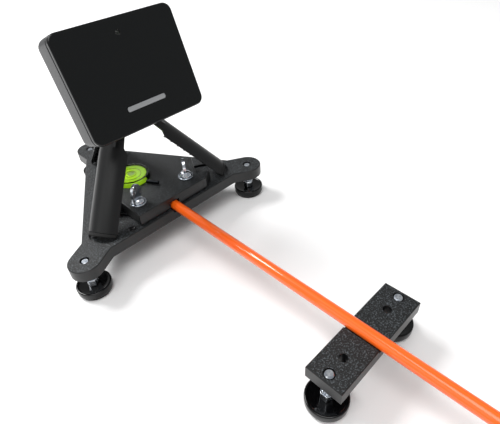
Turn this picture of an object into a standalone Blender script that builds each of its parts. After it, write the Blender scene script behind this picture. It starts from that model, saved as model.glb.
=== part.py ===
"""Radar launch monitor on its folding tripod, standing in a levelling alignment stand.

Frame: +Z up, metres. The monitor looks along -Y and the alignment rod runs along -Y.
The origin is on the floor, under the middle of the footprint.
"""
import math

import bmesh
import bpy
from mathutils import Matrix, Vector

for old in list(bpy.data.objects):
    bpy.data.objects.remove(old, do_unlink=True)

mm = 0.001
GAP = 0.3 * mm                   # clearance between pieces that touch

# ---- driving dimensions -------------------------------------------------
LOBE_SPACING = 158.8 * mm        # stud to stud along one side of the base plate
LOBE_R = 12.0 * mm               # round end of each lobe
EDGE_OUT = 2.9 * mm              # plate edge outside the line between two studs
PLATE_T = 9.5 * mm               # sheet thickness of both plates and the bar
DECK_Z = 29.5 * mm               # top of the base plate above the floor

KNOB_R = 12.7 * mm               # levelling foot disc
KNOB_TOP = 7.4 * mm
STUD_D = 6.2 * mm                # levelling stud, 1/4-20
COLLAR_AF = 7.4 * mm             # hexagon at the root of the stud

ROD_D = 7.9 * mm
ROD_LEN = 457.0 * mm
ROD_IN = 29.0 * mm               # how far the rod runs into the clamp plate

BAR_LEN = 78.4 * mm
BAR_W = 23.5 * mm
BAR_X = 1.0 * mm
BAR_DIST = 174.3 * mm            # studs of the bar in front of the front studs
BAR_STUD = 34.0 * mm             # half the spacing of the bar's studs
BAR_HOLE = 21.6 * mm

CLAMP_FRONT = 0.3 * mm           # clamp plate's front edge in front of the stud line
CLAMP_HALF = 32.4 * mm
SCREW_X = 23.0 * mm
SCREW_Y = 13.5 * mm
LEVEL_D = 30.0 * mm
LEVEL_X = -7.0 * mm
LEVEL_Y = 48.0 * mm
LEVEL_PROUD = 4.0 * mm

TRIPOD_R = 14.1 * mm             # radius of the folded tripod
LEG_WALL = 2.0 * mm
LEG_LEN = 91.0 * mm              # from the hinge pin to the end of the leg
LEG_ANGLE = math.radians(41.4)   # spread of an open leg from the vertical
PIN_R = 7.0 * mm                 # hinge pins' distance from the tripod's axis
PIN_Z = 97.6 * mm
RIBS = 9
RIB_H = 2.9 * mm
LEG_HALF = math.radians(58.4)    # half of a leg's share of the cylinder
HUB_R = 11.0 * mm
PIVOT_Z = 107.0 * mm             # tilt pin

UNIT_W = 89.0 * mm
UNIT_H = 71.0 * mm
UNIT_D = 25.0 * mm
UNIT_CORNER = 6.0 * mm
BACK_ROUND = 6.5 * mm
WALL = 2.0 * mm
COVER_T = 3.0 * mm
TILT = math.radians(20.8)        # lean of the face
PIVOT_BEHIND = 13.0 * mm         # tilt pin behind the unit's back
PIVOT_LOW = 14.3 * mm            # tilt pin below the unit's centre

# ---- derived places -----------------------------------------------------
RC = LOBE_SPACING / math.sqrt(3)             # studs' distance from the plate's centre
CY = RC / 2                                  # plate centre behind the front studs
DECK_BOT = DECK_Z - PLATE_T
CLAMP_Z0 = DECK_Z + 0.5 * mm
CLAMP_Z1 = CLAMP_Z0 + PLATE_T
ROD_Z = DECK_Z + 1.6 * mm                    # the rod lies in grooves in both plates
FOOT_R = max(LOBE_R, KNOB_R)
Y_BACK = RC * 1.5 + FOOT_R
ROD_REAR = ROD_IN - CLAMP_FRONT
ROD_FRONT = ROD_REAR - ROD_LEN
TIP_OVER = 0.8 * mm
RIB_IN = TRIPOD_R - LEG_WALL - RIB_H
TOE_LOW = (PIN_Z - LEG_LEN * math.cos(LEG_ANGLE)
           + (RIB_IN * math.cos(LEG_HALF) - PIN_R) * math.sin(LEG_ANGLE))
POCKET_DEPTH = DECK_Z - TOE_LOW + GAP
SHIFT = Vector((0, -(Y_BACK + ROD_FRONT - TIP_OVER) / 2, 0))
LEG_AZ = [math.radians(a) for a in (210, 330, 90)]
SIDES = ["left", "right", "back"]


# ---- materials ----------------------------------------------------------
def material(name, rgb, rough, metal=0.0, alpha=1.0):
    m = bpy.data.materials.new(name)
    m.use_nodes = True
    p = m.node_tree.nodes["Principled BSDF"]
    p.inputs["Base Color"].default_value = (*rgb, 1)
    p.inputs["Roughness"].default_value = rough
    p.inputs["Metallic"].default_value = metal
    p.inputs["Alpha"].default_value = alpha
    return m


M_SHEET = material("black_hdpe_sheet", (0.030, 0.031, 0.033), 0.55)
M_KNOB = material("gloss_black_nylon", (0.010, 0.010, 0.011), 0.12)
M_ZINC = material("zinc_plated_steel", (0.72, 0.76, 0.80), 0.18, 1.0)
M_RUBBER = material("black_rubber", (0.018, 0.018, 0.018), 0.80)
M_ROD = material("orange_fibreglass", (0.90, 0.13, 0.015), 0.16)
M_LEG = material("satin_black_nylon", (0.022, 0.023, 0.025), 0.38)
M_COVER = material("black_radome", (0.016, 0.019, 0.021), 0.16)
M_SHELL = material("grey_housing", (0.14, 0.145, 0.15), 0.42)
M_BRASS = material("brass", (0.60, 0.42, 0.16), 0.30, 1.0)
M_BOARD = material("circuit_board", (0.02, 0.12, 0.05), 0.45)
M_CAN = material("tinned_shield", (0.62, 0.63, 0.62), 0.30, 1.0)
M_CELL = material("battery_sleeve", (0.05, 0.10, 0.30), 0.40)
M_CLEAR = material("clear_acrylic", (0.75, 0.80, 0.72), 0.08)
M_GREEN = material("green_level_fluid", (0.42, 0.78, 0.06), 0.10)
M_BADGE = material("silver_badge", (0.62, 0.64, 0.66), 0.28, 1.0)


# ---- modelling helpers --------------------------------------------------
def loft(rings, closed=False):
    """Closed body through rings of points: capped, or joined end to start."""
    bm = bmesh.new()
    vs = [[bm.verts.new(p) for p in r] for r in rings]
    n = len(vs[0])
    pairs = list(zip(vs, vs[1:]))
    if closed:
        pairs.append((vs[-1], vs[0]))
    for a, b in pairs:
        for i in range(n):
            j = (i + 1) % n
            bm.faces.new((a[i], a[j], b[j], b[i]))
    if not closed:
        bm.faces.new(list(reversed(vs[0])))
        bm.faces.new(vs[-1])
    bmesh.ops.recalc_face_normals(bm, faces=bm.faces)
    return bm


def circle(r, z, n=28, x=0.0, y=0.0):
    return [(x + r * math.cos(2 * math.pi * i / n),
             y + r * math.sin(2 * math.pi * i / n), z) for i in range(n)]


def hexagon(af, z, n=24, x=0.0, y=0.0):
    out = []
    for i in range(n):
        a = 2 * math.pi * i / n
        d = (a + math.pi / 6) % (math.pi / 3) - math.pi / 6
        r = af / 2 / math.cos(d)
        out.append((x + r * math.cos(a), y + r * math.sin(a), z))
    return out


def turned(profile, n=28, closed=False):
    """Turn (radius, height) points about Z."""
    return loft([circle(r, z, n) for r, z in profile], closed)


def prism(points, z0, z1):
    return loft([[(x, y, z0) for x, y in points], [(x, y, z1) for x, y in points]])


def box(x0, x1, y0, y1, z0, z1):
    return prism([(x0, y0), (x1, y0), (x1, y1), (x0, y1)], z0, z1)


def cylinder(r, z0, z1, n=24, x=0.0, y=0.0):
    return loft([circle(r, z0, n, x, y), circle(r, z1, n, x, y)])


def moved(bm, m):
    bmesh.ops.transform(bm, matrix=m, verts=bm.verts)
    if m.determinant() < 0:
        bmesh.ops.reverse_faces(bm, faces=bm.faces)
    return bm


def along(bm, axis):
    """Lay a body made along Z on the X or Y axis."""
    if axis == "X":
        return moved(bm, Matrix.Rotation(math.radians(90), 4, "Y"))
    return moved(bm, Matrix.Rotation(math.radians(-90), 4, "X"))


def combine(base, others, op="DIFFERENCE"):
    """Boolean the others into base, one after the other."""
    me = bpy.data.meshes.new("work")
    base.to_mesh(me)
    ob = bpy.data.objects.new("work", me)
    bpy.context.collection.objects.link(ob)
    cutters = []
    for i, other in enumerate(others):
        mc = bpy.data.meshes.new("cutter")
        other.to_mesh(mc)
        oc = bpy.data.objects.new("cutter", mc)
        bpy.context.collection.objects.link(oc)
        mod = ob.modifiers.new("b%d" % i, "BOOLEAN")
        mod.object = oc
        mod.operation = op
        mod.solver = "EXACT"
        cutters.append(oc)
    dg = bpy.context.evaluated_depsgraph_get()
    result = bpy.data.meshes.new_from_object(ob.evaluated_get(dg))
    out = bmesh.new()
    out.from_mesh(result)
    for o in cutters + [ob]:
        bpy.data.objects.remove(o, do_unlink=True)
    return out


def piece(name, bm, mat, origin=(0, 0, 0), frame=None):
    """One named object; its origin is given in the plate's frame or in `frame`."""
    o = Vector(origin)
    if frame is not None:
        moved(bm, frame)
        o = frame @ o
    moved(bm, Matrix.Translation(-o))
    me = bpy.data.meshes.new(name)
    bm.to_mesh(me)
    bm.free()
    me.materials.append(mat)
    me.shade_smooth()
    me.set_sharp_from_angle(angle=math.radians(35))
    ob = bpy.data.objects.new(name, me)
    ob.location = o + SHIFT
    bpy.context.collection.objects.link(ob)
    return ob


def polar(az, r, w=0.0):
    """Point r out along a leg's azimuth and w to its left, from the plate's centre."""
    return (r * math.cos(az) - w * math.sin(az),
            CY + r * math.sin(az) + w * math.cos(az))


# ---- base plate ---------------------------------------------------------
def base_outline(rl, eo, steps=12):
    kink = RC + 2 * eo - math.sqrt(3) * rl
    pts = []
    for az in LEG_AZ:
        pts.append(polar(az, kink, -rl))
        for i in range(steps + 1):
            a = -math.pi / 2 + math.pi * i / steps
            pts.append(polar(az, RC + rl * math.cos(a), rl * math.sin(a)))
        pts.append(polar(az, kink, rl))
    return pts


def ring_at(points, z):
    return [(x, y, z) for x, y in points]


EDGE = 0.5 * mm
full = base_outline(LOBE_R, EDGE_OUT)
slim = base_outline(LOBE_R - EDGE, EDGE_OUT - EDGE)
plate = loft([ring_at(slim, DECK_BOT), ring_at(full, DECK_BOT + EDGE),
              ring_at(full, DECK_Z - EDGE), ring_at(slim, DECK_Z)])

POCKET_W = TRIPOD_R * 0.866 + 0.95 * mm          # half width of a leg's pocket
FOOT_OUT = PIN_R + math.sin(LEG_ANGLE) * LEG_LEN + math.cos(LEG_ANGLE) * (TRIPOD_R - PIN_R)
POCKET_END = FOOT_OUT + 1.6 * mm
POCKET_IN = FOOT_OUT - 32.8 * mm
cuts = []
for az in LEG_AZ:
    pts = [polar(az, POCKET_IN, -POCKET_W), polar(az, POCKET_END - POCKET_W, -POCKET_W)]
    for i in range(1, 12):
        a = -math.pi / 2 + math.pi * i / 12
        pts.append(polar(az, POCKET_END - POCKET_W + POCKET_W * math.cos(a),
                         POCKET_W * math.sin(a)))
    pts += [polar(az, POCKET_END - POCKET_W, POCKET_W), polar(az, POCKET_IN, POCKET_W)]
    cuts.append(prism(pts, DECK_Z - POCKET_DEPTH, DECK_Z + 5 * mm))
    x, y = polar(az, RC)
    cuts.append(cylinder(STUD_D / 2 + GAP, DECK_BOT - 1 * mm, DECK_Z + 1 * mm, 20, x, y))
for s in (-1, 1):
    cuts.append(cylinder(4.5 * mm, DECK_Z - 8 * mm, DECK_Z + 1 * mm, 20, s * SCREW_X, SCREW_Y))
cuts.append(box(-ROD_D / 2 - GAP, ROD_D / 2 + GAP, -EDGE_OUT - 5 * mm, ROD_REAR + 0.5 * mm,
                ROD_Z - ROD_D / 2 - GAP, DECK_Z + 1 * mm))
piece("base_plate", combine(plate, cuts), M_SHEET, (0, CY, DECK_BOT))

for side, s in (("left", -1), ("right", 1)):
    insert = turned([(4.2 * mm, DECK_Z - 7.7 * mm), (4.2 * mm, DECK_Z - 0.2 * mm),
                     (3.45 * mm, DECK_Z - 0.2 * mm), (3.45 * mm, DECK_Z - 7.7 * mm)], 20, True)
    piece("insert_" + side, moved(insert, Matrix.Translation((s * SCREW_X, SCREW_Y, 0))),
          M_BRASS, (s * SCREW_X, SCREW_Y, DECK_Z))


# ---- clamp plate: notched where the legs come down ----------------------
NOTCH_W = POCKET_W + 0.6 * mm
NOTCH_R = 45.0 * mm
TIP_R = 56.3 * mm
SHOULDER_W = 23.6 * mm
BACK_EDGE = 32.5 * mm            # the two rear edges' distance from the plate's centre
SHOULDER_R = (CY + CLAMP_FRONT - SHOULDER_W * math.cos(math.radians(30))) / 0.5


def clamp_outline(inset):
    pts = []
    for k, az in enumerate(LEG_AZ):
        if k == 0:
            # the left notch is cut straight back from the front edge
            x0 = -CLAMP_HALF + 0.8 * mm + inset
            front = (x0, -CLAMP_FRONT + inset)
            deep = (x0, CY - 22.0 * mm)
            c, s = math.cos(az), math.sin(az)
            r1 = deep[0] * c + (deep[1] - CY) * s
            w1 = -deep[0] * s + (deep[1] - CY) * c
            r0 = front[0] * c + (front[1] - CY) * s
            w0 = -front[0] * s + (front[1] - CY) * c
            t = (BACK_EDGE - inset - 22.0 * mm) / (CY + CLAMP_FRONT - inset - 22.0 * mm)
            pts += [polar(az, r1 + t * (r0 - r1), -w1 - t * (w0 - w1)), polar(az, r1, -w1),
                    polar(az, r1, w1), polar(az, r0, w0)]
        else:
            sw = SHOULDER_W
            sr = SHOULDER_R - 2 * inset
            nw = NOTCH_W + inset
            nr = NOTCH_R - inset
            tr = TIP_R - inset
            end = (BACK_EDGE - inset - nr / 2) / math.cos(math.radians(30))
            if k == 1:
                pts += [polar(az, sr, -sw), polar(az, tr, -nw), polar(az, nr, -nw), polar(az, nr, end)]
            else:
                pts += [polar(az, nr, -end), polar(az, nr, end)]
    return pts


full = clamp_outline(0.0)
slim = clamp_outline(0.4 * mm)
clamp = loft([ring_at(slim, CLAMP_Z0), ring_at(full, CLAMP_Z0 + 0.4 * mm),
              ring_at(full, CLAMP_Z1 - 0.4 * mm), ring_at(slim, CLAMP_Z1)])
LEVEL_FLOOR = CLAMP_Z1 - 5.0 * mm
cuts = [cylinder(LEVEL_D / 2 + GAP, LEVEL_FLOOR, CLAMP_Z1 + 1 * mm, 40, LEVEL_X, LEVEL_Y),
        box(-ROD_D / 2 - GAP, ROD_D / 2 + GAP, -CLAMP_FRONT - 5 * mm, ROD_REAR + 0.5 * mm,
            CLAMP_Z0 - 1 * mm, ROD_Z + ROD_D / 2 + GAP)]
for s in (-1, 1):
    cuts.append(cylinder(3.6 * mm, CLAMP_Z0 - 1 * mm, CLAMP_Z1 + 1 * mm, 20, s * SCREW_X, SCREW_Y))
piece("clamp_plate", combine(clamp, cuts), M_SHEET, (0, CY, CLAMP_Z0))

# bullseye level: clear cup, green fluid, clear domed lens
cup_r = LEVEL_D / 2
cup_top = CLAMP_Z1 + LEVEL_PROUD
z0 = LEVEL_FLOOR + GAP
here = Matrix.Translation((LEVEL_X, LEVEL_Y, 0))
cup = turned([(cup_r - 0.6 * mm, z0), (cup_r, z0 + 0.6 * mm), (cup_r, cup_top - 0.5 * mm),
              (cup_r - 0.5 * mm, cup_top), (cup_r - 2.0 * mm, cup_top),
              (cup_r - 2.0 * mm, z0 + 1.5 * mm)], 40)
piece("level_cup", moved(cup, here), M_CLEAR, (LEVEL_X, LEVEL_Y, z0))
fluid_r = cup_r - 2.0 * mm - GAP
fluid = turned([(fluid_r, z0 + 1.5 * mm + GAP), (fluid_r, cup_top - 1.9 * mm)], 32)
piece("level_fluid", moved(fluid, here), M_GREEN, (LEVEL_X, LEVEL_Y, z0))
lens = turned([(fluid_r, cup_top - 1.9 * mm + GAP), (fluid_r, cup_top - 0.7 * mm),
               (fluid_r * 0.75, cup_top - 0.25 * mm), (fluid_r * 0.4, cup_top)], 32)
piece("level_lens", moved(lens, here), M_CLEAR, (LEVEL_X, LEVEL_Y, cup_top))

# small steel dowel that stops the level from turning, laid against its rim
a = math.radians(-60)
pin = along(turned([(1.1 * mm, 0), (1.5 * mm, 0.4 * mm), (1.5 * mm, 10.6 * mm),
                    (1.1 * mm, 11 * mm)], 14), "X")
px = LEVEL_X + (cup_r + 2.4 * mm) * math.cos(math.radians(-78))
py = LEVEL_Y + (cup_r + 2.4 * mm) * math.sin(math.radians(-78))
pin_frame = Matrix.Translation((px, py, CLAMP_Z1 + 1.5 * mm + GAP)) @ Matrix.Rotation(a, 4, "Z")
piece("level_pin", pin, M_ZINC, (0, 0, 0), pin_frame)

# spade-head thumb screws with washers
HEAD_Z = CLAMP_Z1 + GAP
for side, s, turn in (("left", -1, 28), ("right", 1, 57.5)):
    washer = turned([(6.3 * mm, HEAD_Z), (6.3 * mm, HEAD_Z + 1.2 * mm),
                     (3.6 * mm, HEAD_Z + 1.2 * mm), (3.6 * mm, HEAD_Z)], 28, True)
    at = Matrix.Translation((s * SCREW_X, SCREW_Y, 0))
    piece("washer_" + side, moved(washer, at), M_ZINC, (s * SCREW_X, SCREW_Y, HEAD_Z))
    zs = HEAD_Z + 1.2 * mm + GAP
    shank = turned([(2.5 * mm, DECK_Z - 7.2 * mm), (3.1 * mm, DECK_Z - 6.6 * mm),
                    (3.1 * mm, zs), (4.9 * mm, zs), (4.9 * mm, zs + 1.0 * mm),
                    (3.9 * mm, zs + 2.6 * mm), (2.0 * mm, zs + 3.4 * mm)], 20)
    pts = []
    for i in range(20):
        t = 2 * math.pi * i / 20
        pts.append((5.9 * mm * math.cos(t), 7.0 * mm * math.sin(t)))
    spade = prism(pts, -1.1 * mm, 1.1 * mm)
    spade = moved(spade, Matrix.Translation((0, 0, zs + 8.2 * mm))
                  @ Matrix.Rotation(math.radians(90), 4, "X"))
    body = combine(shank, [spade], "UNION")
    spin = at @ Matrix.Rotation(math.radians(turn), 4, "Z")
    piece("thumb_screw_" + side, moved(body, spin), M_ZINC, (s * SCREW_X, SCREW_Y, CLAMP_Z1))


# ---- levelling feet -----------------------------------------------------
def foot(name, x, y, top):
    at = Matrix.Translation((x, y, 0))
    pad = turned([(KNOB_R - 1.6 * mm, 0), (KNOB_R - 1.0 * mm, 0.4 * mm), (KNOB_R - 1.0 * mm, 1.4 * mm)], 28)
    piece("foot_pad_" + name, moved(pad, at), M_RUBBER, (x, y, 0))
    k = KNOB_TOP
    bore = STUD_D / 2 + 0.4 * mm
    knob = turned([(KNOB_R - 1.0 * mm, 1.4 * mm + GAP), (KNOB_R, 2.6 * mm), (KNOB_R, k - 0.8 * mm),
                   (KNOB_R - 0.6 * mm, k), (KNOB_R - 1.3 * mm, k), (KNOB_R - 2.4 * mm, k - 0.6 * mm),
                   (bore + 3.0 * mm, k - 1.2 * mm), (bore, k - 1.2 * mm), (bore, 3.0 * mm)], 28)
    piece("foot_knob_" + name, moved(knob, at), M_KNOB, (x, y, 0))
    r = STUD_D / 2
    n = 24
    z1 = k - 1.2 * mm + GAP
    z2 = z1 + 6.0 * mm
    stud = loft([circle(r - 0.4 * mm, 3.0 * mm + GAP, n), circle(r, 3.8 * mm, n), circle(r, z1, n),
                 hexagon(COLLAR_AF, z1, n), hexagon(COLLAR_AF, z2, n), circle(r, z2, n),
                 circle(r, top - 0.6 * mm, n), circle(r - 0.6 * mm, top, n)])
    piece("foot_stud_" + name, moved(stud, at), M_ZINC, (x, y, 0))


for side, az in zip(SIDES, LEG_AZ):
    x, y = polar(az, RC)
    foot(side, x, y, DECK_Z - 0.7 * mm)


# ---- front support bar --------------------------------------------------
def slab(x0, x1, y0, y1, z0, z1, e):
    return loft([[(x0 + i, y0 + i, z), (x1 - i, y0 + i, z), (x1 - i, y1 - i, z), (x0 + i, y1 - i, z)]
                 for i, z in ((e, z0), (0, z0 + e), (0, z1 - e), (e, z1))])


bar = slab(BAR_X - BAR_LEN / 2, BAR_X + BAR_LEN / 2, -BAR_DIST - BAR_W / 2, -BAR_DIST + BAR_W / 2,
           DECK_BOT, DECK_Z, 0.5 * mm)
cuts = []
for s in (-1, 1):
    cuts.append(cylinder(STUD_D / 2 + GAP, DECK_BOT - 1 * mm, DECK_Z + 1 * mm, 20,
                         BAR_X + s * BAR_STUD, -BAR_DIST))
    cuts.append(cylinder(2.7 * mm, DECK_BOT - 1 * mm, DECK_Z + 1 * mm, 20,
                         BAR_X + s * BAR_HOLE, -BAR_DIST))
cuts.append(box(-ROD_D / 2 - GAP, ROD_D / 2 + GAP, -BAR_DIST - BAR_W, -BAR_DIST + BAR_W,
                ROD_Z - ROD_D / 2 - GAP, DECK_Z + 1 * mm))
piece("support_bar", combine(bar, cuts), M_SHEET, (BAR_X, -BAR_DIST, DECK_BOT))
for side, s in (("bar_left", -1), ("bar_right", 1)):
    foot(side, BAR_X + s * BAR_STUD, -BAR_DIST, DECK_Z + 0.4 * mm)

# ---- alignment rod ------------------------------------------------------
r = ROD_D / 2
TIP_LEN = 18 * mm
rod = along(turned([(r - 0.5 * mm, 0), (r, 0.5 * mm), (r, ROD_LEN - 2.5 * mm), (r - 1.2 * mm, ROD_LEN - GAP - 1.0 * mm)], 24), "Y")
rod_frame = Matrix.Translation((0, ROD_REAR, ROD_Z)) @ Matrix.Rotation(math.pi, 4, "Z")
piece("alignment_rod", rod, M_ROD, (0, 0, 0), rod_frame)
tr = r + GAP
tip = turned([(tr, ROD_LEN - TIP_LEN), (tr + 0.9 * mm, ROD_LEN - TIP_LEN), (tr + 0.9 * mm, ROD_LEN - 0.6 * mm),
              (tr, ROD_LEN + TIP_OVER)], 24)
bore = turned([(tr, ROD_LEN - TIP_LEN - 1 * mm), (tr, ROD_LEN - 0.7 * mm)], 24)
piece("rod_tip", along(combine(tip, [bore]), "Y"), M_RUBBER, (0, ROD_LEN - TIP_LEN, 0), rod_frame)


# ---- tripod hub ---------------------------------------------------------
def sector(r_in, r_out, half, steps):
    pts = []
    for i in range(steps + 1):
        a = -half + 2 * half * i / steps
        pts.append((r_out * math.cos(a), r_out * math.sin(a)))
    for i in range(steps + 1):
        a = half - 2 * half * i / steps
        pts.append((r_in * math.cos(a), r_in * math.sin(a)))
    return pts


HUB_BOT = PIN_Z - 6.4 * mm
HUB_TOP = PIVOT_Z - 4.8 * mm
BARREL = 2.8 * mm
SLOT = 10.6 * mm
EAR_R = 4.4 * mm
LUG_W = 8.0 * mm
hub = turned([(HUB_R - 0.8 * mm, HUB_BOT), (HUB_R, HUB_BOT + 0.8 * mm), (HUB_R, HUB_TOP - 0.8 * mm),
              (HUB_R - 0.8 * mm, HUB_TOP)], 36)
cuts = []
for az in LEG_AZ:
    turn = Matrix.Rotation(az, 4, "Z")
    cuts.append(moved(box(PIN_R - BARREL - 0.5 * mm, HUB_R + 2 * mm, -SLOT / 2, SLOT / 2,
                          HUB_BOT - 1 * mm, PIN_Z + BARREL + 0.35 * mm), turn))
hole = []
for az in LEG_AZ:
    c = along(cylinder(1.25 * mm + GAP, -8.4 * mm, 8.4 * mm, 16), "Y")
    hole.append(moved(c, Matrix.Rotation(az, 4, "Z") @ Matrix.Translation((PIN_R, 0, PIN_Z))))
hub = combine(hub, cuts + hole)
ears = []
for s in (-1, 1):
    x0, x1 = sorted((s * (LUG_W / 2 + GAP), s * (LUG_W / 2 + GAP + 3.0 * mm)))
    pts = [(-EAR_R, HUB_TOP - 0.6 * mm)]
    for i in range(13):
        a = math.pi - math.pi * i / 12
        pts.append((EAR_R * math.cos(a), PIVOT_Z + EAR_R * math.sin(a)))
    pts.append((EAR_R, HUB_TOP - 0.6 * mm))
    ears.append(loft([[(x0, y, z) for y, z in pts], [(x1, y, z) for y, z in pts]]))
hub = combine(hub, ears, "UNION")
PIVOT_BORE = 2.0 * mm + GAP
hub = combine(hub, [moved(along(cylinder(PIVOT_BORE, -12 * mm, 12 * mm, 20), "X"),
                          Matrix.Translation((0, 0, PIVOT_Z)))])
HUB = Matrix.Translation((0, CY, 0))
piece("tripod_hub", hub, M_LEG, (0, 0, HUB_BOT), HUB)

tilt_pin = along(turned([(3.4 * mm, -10.0 * mm), (3.4 * mm, -LUG_W / 2 - 3.0 * mm - 2 * GAP),
                         (2.0 * mm, -LUG_W / 2 - 3.0 * mm - 2 * GAP), (2.0 * mm, 8.4 * mm),
                         (1.4 * mm, 9.0 * mm)], 20), "X")
tilt_pin = moved(tilt_pin, Matrix.Translation((0, 0, PIVOT_Z)))
piece("tilt_pin", tilt_pin, M_ZINC, (0, 0, PIVOT_Z),
      HUB)

# ---- legs: ribbed 120 degree shells that close into a cylinder ----------
HALF = LEG_HALF
NECK = 25 * mm
SHELL_TOP = 9.5 * mm
for side, az in zip(SIDES, LEG_AZ):
    lift = Matrix.Translation((PIN_R, 0, PIN_Z)) @ Matrix.Rotation(-LEG_ANGLE, 4, "Y")
    leg_frame = HUB @ Matrix.Rotation(az, 4, "Z") @ lift
    centre = Matrix.Translation((-PIN_R, 0, 0))
    ro, ri = TRIPOD_R, TRIPOD_R - LEG_WALL
    end = -(LEG_LEN - 3.0 * mm - GAP)
    rings = []
    for z, half, step in ((end, HALF, 0.0), (-NECK - 4.5 * mm, HALF, 0.0),
                          (-NECK, HALF - math.radians(14), 0.0), (-SHELL_TOP, HALF - math.radians(18), 0.0)):
        rings.append([(x, y, z) for x, y in sector(ri, ro, half, 10)])
    shell = moved(loft(rings), centre)
    parts = []
    span = (LEG_LEN - NECK - 13 * mm) / (RIBS - 1)
    for i in range(RIBS):
        zt = -NECK - 4.5 * mm - i * span
        rib_in = RIB_IN
        parts.append(moved(prism(sector(rib_in, ri + 0.6 * mm, HALF - math.radians(1.6), 6), zt - 1.1 * mm, zt), centre))
    # closed end plate, neck web and hinge barrel
    parts.append(moved(prism(sector(rib_in, ri + 0.6 * mm, HALF - math.radians(1.6), 6), end, end + 1.4 * mm), centre))
    neck = [(BARREL * 0.9, 0.6 * mm), (TRIPOD_R - PIN_R - 0.25 * mm, -SHELL_TOP - 1.0 * mm),
            (TRIPOD_R - PIN_R - 0.25 * mm, -NECK), (TRIPOD_R - PIN_R - 2.6 * mm, -NECK),
            (-BARREL * 0.5, -SHELL_TOP), (-BARREL * 0.9, -0.6 * mm)]
    w = 4.9 * mm
    web = loft([[(x, -w, z) for x, z in neck], [(x, w, z) for x, z in neck]])
    barrel = along(cylinder(BARREL, -w, w, 24), "Y")
    parts += [web, barrel]
    leg = combine(shell, parts, "UNION")
    leg = combine(leg, [along(cylinder(1.25 * mm + GAP, -8 * mm, 8 * mm, 16), "Y")])
    piece("tripod_leg_" + side, leg, M_LEG, (0, 0, 0), leg_frame)
    pin = along(cylinder(1.25 * mm, -8.0 * mm, 8.0 * mm, 16), "Y")
    piece("leg_pin_" + side, pin, M_ZINC, (0, 0, 0),
          HUB @ Matrix.Rotation(az, 4, "Z") @ Matrix.Translation((PIN_R, 0, PIN_Z)))
    toe = moved(loft([[(x, y, z) for x, y in sector(RIB_IN, r_out, HALF - math.radians(1.6), 10)]
                      for z, r_out in ((-LEG_LEN, TRIPOD_R - 0.9 * mm), (-LEG_LEN + 0.8 * mm, TRIPOD_R - 0.1 * mm),
                                       (-LEG_LEN + 3.0 * mm, TRIPOD_R - 0.1 * mm))]), centre)
    piece("leg_toe_" + side, toe, M_RUBBER, (0, 0, -LEG_LEN), leg_frame)


# ---- radar unit ---------------------------------------------------------
# own frame: x across, y from the front face to the back, z up the face
UNIT = (HUB @ Matrix.Translation((0, 0, PIVOT_Z)) @ Matrix.Rotation(-TILT, 4, "X")
        @ Matrix.Translation((0, -UNIT_D - PIVOT_BEHIND, PIVOT_LOW)))
PIVOT = (0, UNIT_D + PIVOT_BEHIND, -PIVOT_LOW)


def rounded(inset, y, corner=None, steps=6):
    w, h = UNIT_W / 2 - inset, UNIT_H / 2 - inset
    c = max(UNIT_CORNER - inset, 0.8 * mm) if corner is None else corner
    pts = []
    for cx, cz, a0 in ((w - c, h - c, 0), (-w + c, h - c, 90), (-w + c, -h + c, 180), (w - c, -h + c, 270)):
        for i in range(steps + 1):
            a = math.radians(a0 + 90 * i / steps)
            pts.append((cx + c * math.cos(a), y, cz + c * math.sin(a)))
    return pts


def through_y(r, x, z, y0, y1, n=20):
    return moved(along(cylinder(r, y0, y1, n), "Y"), Matrix.Translation((x, 0, z)))


LED_Z = 25.85 * mm
cover = loft([rounded(1.1 * mm, 0), rounded(0.35 * mm, 0.35 * mm), rounded(0.1 * mm, 1.1 * mm),
              rounded(0.1 * mm, COVER_T)])
cover = combine(cover, [through_y(1.7 * mm, 0, LED_Z, -1 * mm, COVER_T + 1 * mm)])
piece("front_cover", cover, M_COVER, (0, 0, 0), UNIT)
led = moved(along(turned([(0.9 * mm, 0.15 * mm), (1.4 * mm, 0.5 * mm), (1.4 * mm, COVER_T - 0.2 * mm)], 16), "Y"),
            Matrix.Translation((0, 0, LED_Z)))
piece("led_lens", led, M_CLEAR, (0, 0, LED_Z), UNIT)
badge = loft([[(x, y, z) for x, z in ((-14.2 * mm, -21.9 * mm), (14.2 * mm, -21.9 * mm), (15.0 * mm, -21.1 * mm),
                                      (15.0 * mm, -19.5 * mm), (14.2 * mm, -18.7 * mm), (-14.2 * mm, -18.7 * mm),
                                      (-15.0 * mm, -19.5 * mm), (-15.0 * mm, -21.1 * mm))]
              for y in (-0.6 * mm, -GAP)])
piece("blank_badge", badge, M_BADGE, (0, 0, -20.3 * mm), UNIT)

# seal between the cover and the housing, set back so a dark seam shows
SEAL_T = 0.8 * mm
y0 = COVER_T + GAP / 2
seal = loft([rounded(1.3 * mm, y0), rounded(1.3 * mm, y0 + SEAL_T), rounded(4.2 * mm, y0 + SEAL_T),
             rounded(4.2 * mm, y0)], True)
piece("cover_seal", seal, M_RUBBER, (0, COVER_T, 0), UNIT)

# rear housing: a cup, open to the front, with a well rounded back
y1 = y0 + SEAL_T + GAP / 2
rings = [rounded(WALL + 0.2 * mm, UNIT_D - WALL, 6.8 * mm), rounded(WALL, UNIT_D - BACK_ROUND),
         rounded(WALL, y1), rounded(0.5 * mm, y1), rounded(0, y1 + 0.5 * mm), rounded(0, UNIT_D - BACK_ROUND)]
rings[0] = rounded(BACK_ROUND * 0.62, UNIT_D - WALL)
for i in range(1, 6):
    a = math.radians(90 * i / 5)
    rings.append(rounded(BACK_ROUND * (1 - math.cos(a)), UNIT_D - BACK_ROUND + BACK_ROUND * math.sin(a)))
shell = loft(rings)
BTN_Y, BTN_Z = 14.0 * mm, 12.0 * mm
PORT_Y, PORT_Z = 13.5 * mm, -16.0 * mm
PORT_H, PORT_W = 6.0 * mm, 4.0 * mm              # half height and half width of the flap
SCREW_Z = 1.5 * mm
side_x = UNIT_W / 2
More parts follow.
